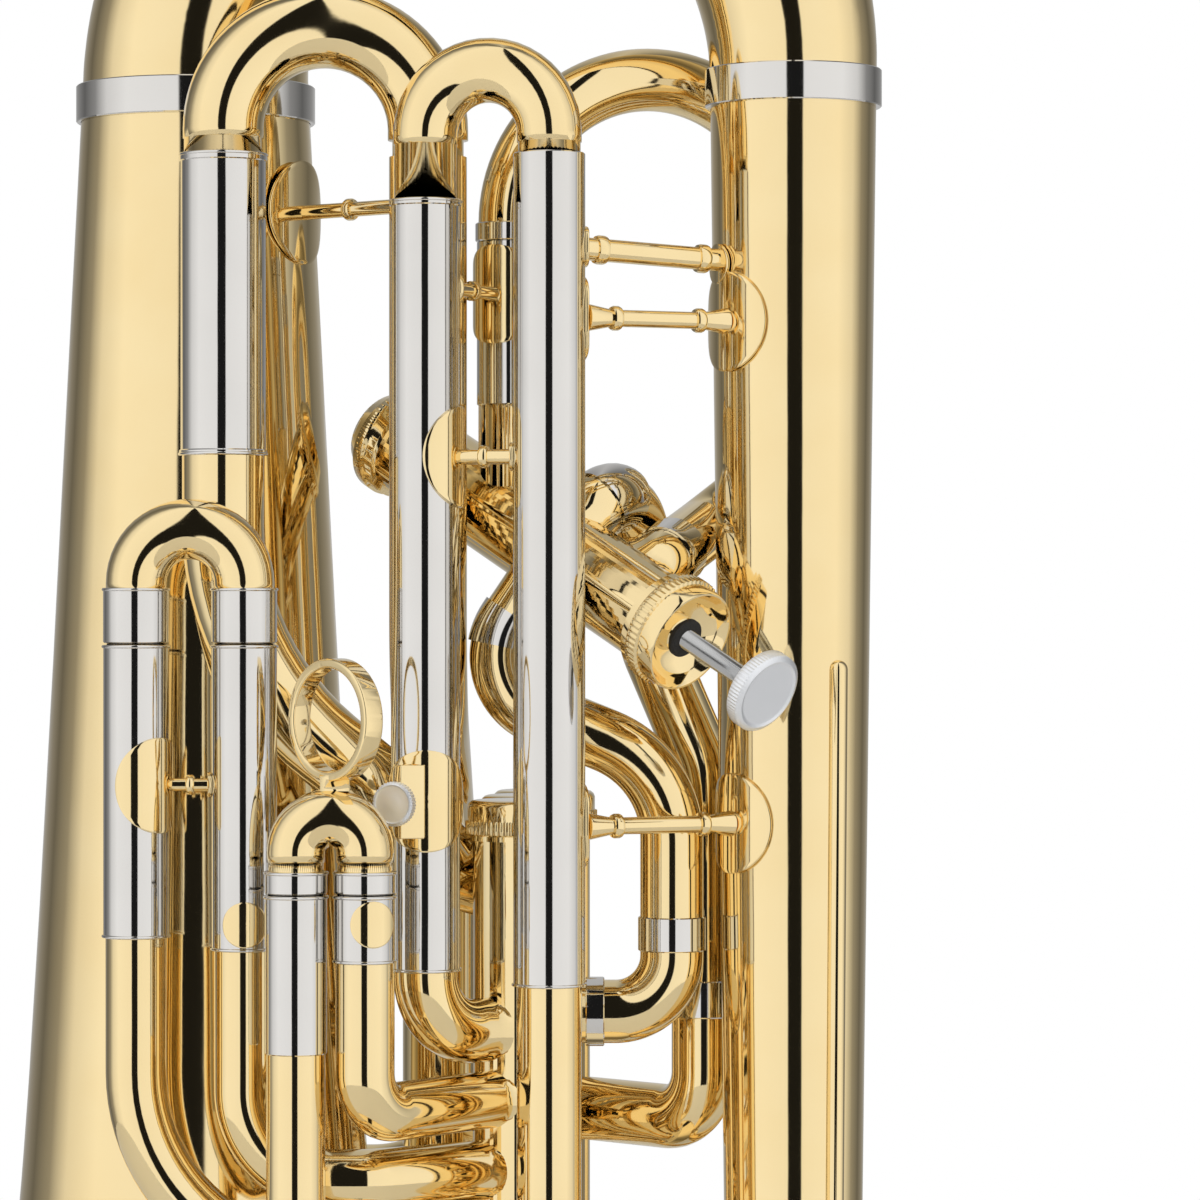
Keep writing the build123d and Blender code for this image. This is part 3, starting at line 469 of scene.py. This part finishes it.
LINK_R = 10.2
SLANT = ((92.0, -50.0, 442.6), (153.5, -59.0, 482.3), (137.0, -44.7, 505.2))
tubes = {
    "return_tube": [
        ("return", [(79.0, 50.0, 250.0), (79.0, 50.0, 390.0), (78.9, -50.0, 440.0), (78.9, -50.0, 612.0)],
         (40.0, 40.0), 12.5, ())],
    "diagonal_tube": [
        ("diagonal", [(*MAIN_LEG, 522.0), (*MAIN_LEG, 450.8), (64.0, -53.0, 408.6), (83.0, -25.0, 384.0),
                      short_of(VALVE_2, 374.0, (83.0, -25.0, 384.0))],
         (93.0, 20.0, 18.0), 13.2, (casing(VALVE_2),))],
    "fourth_slide_elbows": [
        ("elbow_a", [(*FOURTH_LEG_A, 357.0), (*FOURTH_LEG_A, 333.0),
                     short_of(VALVE_1, 333.0, (*FOURTH_LEG_A, 333.0))],
         (19.0,), LINK_R, (casing(VALVE_1),)),
        ("elbow_b", [(*FOURTH_LEG_B, 353.0), (*FOURTH_LEG_B, 250.0),
                     short_of(VALVE_1, 250.0, (*FOURTH_LEG_B, 250.0))],
         (15.0,), LINK_R, (casing(VALVE_1),))],
    "left_slide_bends": [
        ("bend_a", [(*LEFT_LEG_A, 368.0), (*LEFT_LEG_A, 262.0), (62.0, -82.0, 262.0),
                    short_of(VALVE_1, 262.0, (62.0, -82.0, 262.0))],
         (60.0, 12.0), 9.6, (casing(VALVE_1),)),
        ("bend_b", [(*LEFT_LEG_B, 364.0), (*LEFT_LEG_B, 288.0), (62.0, -82.0, 288.0),
                    short_of(VALVE_1, 288.0, (62.0, -82.0, 288.0))],
         (28.0, 8.0), 9.6, (casing(VALVE_1),))],
    "small_slide_bends": [
        ("turn_a", [(*SMALL_LEG_A, 334.0), (*SMALL_LEG_A, 236.0), (82.0, -76.0, 236.0),
                    short_of(VALVE_1, 236.0, (82.0, -76.0, 236.0))],
         (24.0, 8.0), 9.15, (casing(VALVE_1),)),
        ("turn_b", [(*SMALL_LEG_B, 359.0), (*SMALL_LEG_B, 311.0),
                    short_of(VALVE_1, 311.0, (*SMALL_LEG_B, 311.0))],
         (13.0,), 9.15, (casing(VALVE_1),))],
    "front_link": [
        ("front", [on_fourth(89.8, SLANT[0]), SLANT[0], (157.2, -50.0, 416.4), (157.2, -50.0, 338.0),
                   short_of(VALVE_1, 338.0, (157.2, -50.0, 338.0))],
         (20.0, 34.0, 18.0), LINK_R, (FOURTH, casing(VALVE_1)))],
    "rear_link": [
        ("rear", [on_fourth(88.5, SLANT[2]), SLANT[2], (146.0, -18.0, 497.0), (151.0, -16.0, 455.0),
                  (168.0, -22.0, 415.0), (168.0, -22.0, 300.0),
                  short_of(VALVE_3, 300.0, (168.0, -22.0, 300.0))],
         (12.0, 14.0, 22.0, 26.0, 16.0), 10.5, (FOURTH, casing(VALVE_3)))],
    "branch_link": [
        ("across", [on_fourth(118.4, SLANT[1]), SLANT[1], (169.0, -19.0, 494.0), (197.0, -9.0, 516.0),
                    (197.0, -9.0, 592.0)],
         (12.0, 16.0, 22.0), LINK_R, (FOURTH,))],
}
for tube_node, runs in tubes.items():
    made = [pipe(run_name, bent(points, radii), tube_r, casings)
            for run_name, points, radii, tube_r, casings in runs]
    settle(gather(made), "horn", brass, "lacquered_brass", tube_node)

# Nickel ferrules that cover the joints between tubes, with the long one below the
# upper bow and three short ones that wrap the bends next to valve 4.
ferrule_list = (
    ((197.0, -9.0, 580.0), UP, 12.0, 11.2, LINK_R), ((104.9, -36.0, 586.0), UP, 6.0, 11.2, LINK_R),
    ((104.9, -36.0, 533.0), UP, 53.0, 10.7, LINK_R), ((157.2, -50.0, 357.5), UP, 11.0, 10.9, LINK_R),
    ((129.5, -50.0, 338.0), Vector((1, 0, 0)), 6.0, 11.1, LINK_R),
    ((168.0, -22.0, 334.0), UP, 12.0, 11.4, 10.5), ((0, 0, 628.0), UP, 12.0, 39.5, 38.0),
    ((196.1, -50.0, 628.0), UP, 12.0, 28.4, 26.4),
)
made = [sleeve("ferrules_turned", *numbers) for numbers in ferrule_list]
bends = (
    ("front_link_ferrule", tubes["front_link"][0], 14.0, 26.0, 11.1),
    ("rear_link_ferrule", tubes["rear_link"][0], 10.0, 22.0, 11.4),
    ("branch_link_ferrule", tubes["branch_link"][0], 11.0, 22.0, 11.1),
)
for ferrule_name, (_, points, radii, _, _), first, last, ferrule_r in bends:
    path = bent(points, radii, 1.0)
    walked = 0.0
    cover = []
    for before, after in zip(path, path[1:]):
        if first < walked < last:
            cover.append(before)
        walked += (after - before).length
    made.append(pipe(ferrule_name, cover, ferrule_r, (), 0.8))
settle(gather(made), "horn", nickel, "nickel_silver", "ferrules")

# Braces: pressed saddle flanges soldered to the tubes, and brass rods turned with
# beads between them. Each rod's cones sit on the flanges.


def flange(foot, tube_r, facing, disc_r, thick=1.3):
    """A round disc, inset into rings and wrapped round an upright tube, in millimetres."""
    bpy.ops.object.select_all(action="DESELECT")
    bpy.ops.mesh.primitive_circle_add(vertices=72, radius=disc_r * MM, fill_type="NGON")
    piece = bpy.context.object
    bpy.ops.object.mode_set(mode="EDIT")
    bpy.ops.mesh.select_all(action="SELECT")
    for _ in range(11):
        bpy.ops.mesh.inset(thickness=disc_r * MM / 12)
    bpy.ops.mesh.poke()
    bpy.ops.object.mode_set(mode="OBJECT")
    facing = Vector(facing).normalized()
    across = facing.cross(UP)
    reach = (tube_r + thick / 2) * MM
    for vertex in piece.data.vertices:
        swing = vertex.co.x / reach
        side = facing * cos(swing) + across * sin(swing)
        vertex.co = Vector(foot) * MM + side * reach + UP * vertex.co.y
    solid = piece.modifiers.new("sheet", "SOLIDIFY")
    solid.thickness = thick * MM
    solid.offset = 0
    bpy.ops.object.modifier_apply(modifier="sheet")
    edge = piece.modifiers.new("edge", "BEVEL")
    edge.width = 0.35 * MM
    edge.segments = 2
    edge.angle_limit = radians(50)
    bpy.ops.object.modifier_apply(modifier="edge")
    bpy.ops.object.mode_set(mode="EDIT")
    bpy.ops.mesh.select_all(action="SELECT")
    bpy.ops.mesh.normals_make_consistent(inside=False)
    bpy.ops.object.mode_set(mode="OBJECT")
    bpy.ops.object.shade_smooth_by_angle(angle=radians(35))
    return piece


def spindle(start, end, radius, bead_r, beads=(0.5,), foot_r=None):
    """A brace rod with beads, and a cone at each end where foot_r is given."""
    run = Vector(end) - Vector(start)
    rings = [(0.4, 0), (radius, 0)]
    if foot_r:
        rings = [(0.4, 0), (foot_r, 0), (foot_r, 0.6), (radius, 2 * foot_r)]
    bead = ((0, -0.42), (0.7, -0.38), (1, -0.2), (1, 0.2), (0.7, 0.38), (0, 0.42))
    for share in beads:
        for swell, height in bead:
            rings.append((radius + swell * (bead_r - radius), share * run.length + height * bead_r))
    if foot_r:
        rings += [(radius, run.length - 2 * foot_r), (foot_r, run.length - 0.6), (foot_r, run.length)]
    else:
        rings.append((radius, run.length))
    return turned("rod", rings, Vector(start) * MM, run, 48)


def branch_r(height):
    """Radius of the outer branch at a height, in millimetres."""
    return 20.7 + (height - 150.0) / 490.0 * 6.1


def braced(node, shapes):
    """Joins one brace's flanges and rods and seats them."""
    piece = gather(shapes)
    piece.name = node + "_metal"
    settle(piece, "horn", brass, "lacquered_brass", node)


def strut(first, first_r, last, last_r, *shape):
    """A rod between two upright tubes, its ends just clear of them."""
    run = (last - first).normalized()
    return spindle(first + run * (first_r + SEAT), last - run * (last_r + SEAT), *shape)


SEAT = 0.6
FOURTH_R_A = 10.9
FOURTH_R_B = 11.3
BRANCH = (196.1, -50.0)
front_left = Vector((-0.82, -0.57, 0)).normalized()
toward_right = Vector((1, 0, 0))
shapes = []
for height in (558.5, 399.0):
    branch_axis = Vector((*BRANCH, height))
    slide_axis = Vector((*FOURTH_LEG_B, height))
    pad_r = branch_r(height) + 0.3
    shapes.append(flange(branch_axis, pad_r, front_left, 16.0))
    shapes.append(flange(slide_axis, FOURTH_R_B, (0.5, 0.866, 0), 15.0))
    rod_start = slide_axis + toward_right * (FOURTH_R_B + SEAT)
    rod_end = branch_axis + front_left * (pad_r + SEAT)
    shapes.append(spindle(rod_start, rod_end, 2.7, 3.9, (0.2, 0.8), 4.2))
slide_axis = Vector((*FOURTH_LEG_B, 581.0))
branch_axis = Vector((*BRANCH, 577.0))
stay_side = (branch_axis - slide_axis).normalized() * Vector((1, 1, 0))
pad_r = branch_r(branch_axis.z) + 0.3
shapes.append(flange(slide_axis, FOURTH_R_B, stay_side, 6.5))
shapes.append(flange(branch_axis, pad_r, -stay_side, 6.5))
shapes.append(strut(slide_axis, FOURTH_R_B, branch_axis, pad_r, 3.6, 4.6, (0.12, 0.88)))
braced("branch_braces", shapes)

# Short braces between the fourth slide's legs, and from its first leg to the tube
# behind, each with one wide flange.
first_axis = Vector((*FOURTH_LEG_A, 515.0))
second_axis = Vector((*FOURTH_LEG_B, 515.0))
slide_run = (second_axis - first_axis).normalized()
SLEEVE_R = 10.7
corner_facing = Vector((0.8, 0.6, 0))
corner_axis = Vector((*FOURTH_LEG_A, 568.5))
corner_start = corner_axis + corner_facing * (FOURTH_R_A + 2 * SEAT)
upper_axis = Vector((104.9, -36.0, 568.5))
corner_run = (upper_axis - corner_start).normalized()
corner_end = upper_axis - corner_run * (SLEEVE_R + SEAT)
braced("slide_braces", [
    flange(first_axis, FOURTH_R_A, slide_run, 16.0), flange(second_axis, FOURTH_R_B, -slide_run, 4.5),
    strut(first_axis, FOURTH_R_A, second_axis, FOURTH_R_B, 2.4, 3.6, (0.45,)),
    flange(corner_axis, FOURTH_R_A, corner_facing, 5.0, 1.6), flange(upper_axis, SLEEVE_R, -corner_run, 16.0),
    spindle(corner_start, corner_end, 2.2, 3.2, (0.4,))])

# Brace between the left slide's legs, and the two small round patches on the legs
# further down.
LEFT_R = 10.3
left_axis = Vector((*LEFT_LEG_A, 412.0))
right_axis = Vector((*LEFT_LEG_B, 412.0))
braced("left_brace", [
    flange(left_axis, LEFT_R, (0.75, -0.66, 0), 15.0), flange(right_axis, LEFT_R, (-1, 0, 0), 4.0),
    strut(left_axis, LEFT_R, right_axis, LEFT_R, 2.0, 3.2),
    flange((*LEFT_LEG_B, 368.6), LEFT_R, (0.1, -0.995, 0), 7.2),
    flange((*SMALL_LEG_B, 370.4), 9.65, (0.3, -0.954, 0), 7.2)])

# Brace from the bell stack to the main slide, on a wide flange.
bell_side = Vector((0.9, -0.436, 0)).normalized()
bell_axis = Vector((0, 0, 597.0))
bell_pad_r = 69.8 - 0.0508 * 580.0
rod_start = bell_axis + bell_side * (bell_pad_r + SEAT)
return_axis = Vector((78.9, -50.0, 597.0))
rod_end = return_axis - (return_axis - rod_start).normalized() * 12.5
braced("bell_brace", [flange(bell_axis, bell_pad_r, bell_side, 17.0), spindle(rod_start, rod_end, 2.4, 3.6)])

# Lyre holder: a square socket soldered on a wrapped flange, with a pocket sunk in each end
# for the arm of a music lyre.
lyre_pad = flange((*FOURTH_LEG_A, 407.0), FOURTH_R_A, (0.05, -1, 0), 16.0)
bpy.ops.object.select_all(action="DESELECT")
socket_centre = Vector((74.7, -89.2, 407.0)) * MM
socket_size = Vector((8.0, 6.4, 23.0)) * MM
bpy.ops.mesh.primitive_cube_add(size=1, location=socket_centre, scale=socket_size)
socket = bpy.context.object
socket.rotation_euler.z = radians(17)
bpy.ops.object.transform_apply(location=True, rotation=True, scale=True)
bpy.ops.object.mode_set(mode="EDIT")
bpy.ops.mesh.select_mode(type="FACE")
bpy.ops.mesh.select_all(action="DESELECT")
bpy.ops.object.mode_set(mode="OBJECT")
for face in socket.data.polygons:
    face.select = abs(face.normal.z) > 0.9
bpy.ops.object.mode_set(mode="EDIT")
bpy.ops.mesh.inset(thickness=1.4 * MM)
bpy.ops.mesh.extrude_region_move()
bpy.ops.mesh.extrude_region_shrink_fatten(TRANSFORM_OT_shrink_fatten={"value": -5.0 * MM})
bpy.ops.object.mode_set(mode="OBJECT")
edge = socket.modifiers.new("edge", "BEVEL")
edge.width = 0.4 * MM
edge.segments = 3
bpy.ops.object.modifier_apply(modifier="edge")
bpy.ops.object.shade_smooth_by_angle(angle=radians(35))
settle(gather([lyre_pad, socket]), "horn", brass, "lacquered_brass", "lyre_holder")

# Turned lips and bead lines on the tube ends, where a ferrule or a slide mouth was
# finished on the lathe.


def lip(name, centre, radius, body, proud=0.55):
    """A half-round nickel bead line standing on an upright tube."""
    bpy.ops.object.select_all(action="DESELECT")
    bpy.ops.mesh.primitive_torus_add(
        major_radius=radius, minor_radius=proud * MM, major_segments=96, minor_segments=12, location=centre)
    piece = bpy.context.object
    piece.name = name
    bpy.ops.object.shade_smooth()
    settle(piece, body, nickel, "nickel_silver")


lines = (
    ("main_mouth_lip", MAIN_LEG, 612.0, 13.8, "horn"), ("main_foot_lip", MAIN_LEG, 516.6, 13.9, "horn"),
    ("fourth_mouth_lip", FOURTH_LEG_A, 595.6, 11.1, "horn"),
    ("fourth_a_foot_lip", FOURTH_LEG_A, 353.6, 10.9, "horn"),
    ("fourth_b_foot_lip", FOURTH_LEG_B, 349.6, 11.3, "horn"),
    ("left_a_mouth_lip", LEFT_LEG_A, 455.4, 10.3, "horn"),
    ("left_b_mouth_lip", LEFT_LEG_B, 455.4, 10.3, "horn"),
    ("left_a_foot_lip", LEFT_LEG_A, 364.6, 10.3, "horn"),
    ("left_b_foot_lip", LEFT_LEG_B, 360.6, 10.3, "horn"),
    ("small_a_mouth_lip", SMALL_LEG_A, 378.4, 9.65, "horn"),
    ("small_b_mouth_lip", SMALL_LEG_B, 378.4, 9.65, "horn"),
    ("small_b_foot_lip", SMALL_LEG_B, 358.6, 9.65, "horn"),
    ("left_a_ferrule_line", LEFT_LEG_A, 473.3, 10.25, "left_slide_body"),
    ("left_b_ferrule_line", LEFT_LEG_B, 473.3, 10.25, "left_slide_body"),
    ("small_a_ferrule_line", SMALL_LEG_A, 385.8, 9.6, "small_slide_body"),
    ("small_b_ferrule_line", SMALL_LEG_B, 385.8, 9.6, "small_slide_body"),
)
for lip_name, leg, lip_z, lip_r, lip_body in lines:
    lip(lip_name, Vector((*leg, lip_z)) * MM, lip_r * MM, lip_body)

# Pale studio world: two tall soft boxes either side of the viewer with a dark gap
# between them, grey round the sides, and plain white behind the object.
world = bpy.data.worlds.new("studio")
bpy.context.scene.world = world
world.use_nodes = True
sky = world.node_tree
background = sky.nodes["Background"]
direction = sky.nodes.new("ShaderNodeSeparateXYZ")
sky.links.new(sky.nodes.new("ShaderNodeTexCoord").outputs["Generated"], direction.inputs[0])
backwards = sky.nodes.new("ShaderNodeMath")
backwards.operation = "MULTIPLY"
backwards.inputs[1].default_value = -1
sky.links.new(direction.outputs["Y"], backwards.inputs[0])
azimuth = sky.nodes.new("ShaderNodeMath")
azimuth.operation = "ARCTAN2"
sky.links.new(direction.outputs["X"], azimuth.inputs[0])
sky.links.new(backwards.outputs[0], azimuth.inputs[1])
swing = sky.nodes.new("ShaderNodeMath")
swing.operation = "ABSOLUTE"
sky.links.new(azimuth.outputs[0], swing.inputs[0])
share = sky.nodes.new("ShaderNodeMath")
share.operation = "DIVIDE"
share.inputs[1].default_value = pi
sky.links.new(swing.outputs[0], share.inputs[0])
ramp = sky.nodes.new("ShaderNodeValToRGB")
DARK_GAP = radians(11) / pi
stops = (
    (0.0, 0.012), (DARK_GAP * 0.93, 0.012), (DARK_GAP * 1.07, 0.95), (0.36, 1.0),
    (0.50, 0.80), (0.60, 0.30), (0.72, 0.14), (0.86, 0.30), (1.0, 0.55),
)
for index, (position, level) in enumerate(stops):
    if index > 1:
        ramp.color_ramp.elements.new(position)
    ramp.color_ramp.elements[index].position = position
    ramp.color_ramp.elements[index].color = (level, level, level, 1)
sky.links.new(share.outputs[0], ramp.inputs[0])
rays = sky.nodes.new("ShaderNodeLightPath")
seen = sky.nodes.new("ShaderNodeMix")
seen.data_type = "RGBA"
seen.inputs[7].default_value = (1, 1, 1, 1)
sky.links.new(rays.outputs["Is Camera Ray"], seen.inputs[0])
sky.links.new(ramp.outputs[0], seen.inputs[6])
sky.links.new(seen.outputs[2], background.inputs[0])

# Studio floor under the bell: a round pale board.
bpy.ops.object.select_all(action="DESELECT")
bpy.ops.mesh.primitive_circle_add(vertices=96, radius=1.0, fill_type="NGON", location=(0.05, 0, -0.0005))
floor = bpy.context.object
floor.name = "studio_floor"
board = Finish("pale_board")
paint, shadow = (0.86, 0.86, 0.86, 1), (0.82, 0.82, 0.82, 1)
board.set(board.shader.inputs["Base Color"], board.blend(board.noise(3.0), paint, shadow))
board.set(board.shader.inputs["Roughness"], 0.7)
floor.data.materials.append(board.material)

# One broad soft light from above and in front lays a quiet shadow on the floor.
bpy.ops.object.light_add(type="AREA", location=(-0.6, -1.2, 2.2), rotation=(radians(32), 0, radians(-25)))
key = bpy.context.object
key.name = "key_light"
key.data.size = 1.4
key.data.energy = 14
key.visible_glossy = False
key.visible_camera = False

# Camera level with the valves, on the side the slides face.
LENS = 136.95
bpy.ops.object.camera_add(location=(0.1341, -1.515, 0.470), rotation=(radians(90), 0, 0))
camera = bpy.context.object
camera.data.sensor_width = 36.0
camera.data.lens = LENS
camera.data.clip_start = 0.05
camera.data.dof.use_dof = False
bpy.context.scene.camera = camera
bpy.context.scene.view_settings.view_transform = "Standard"
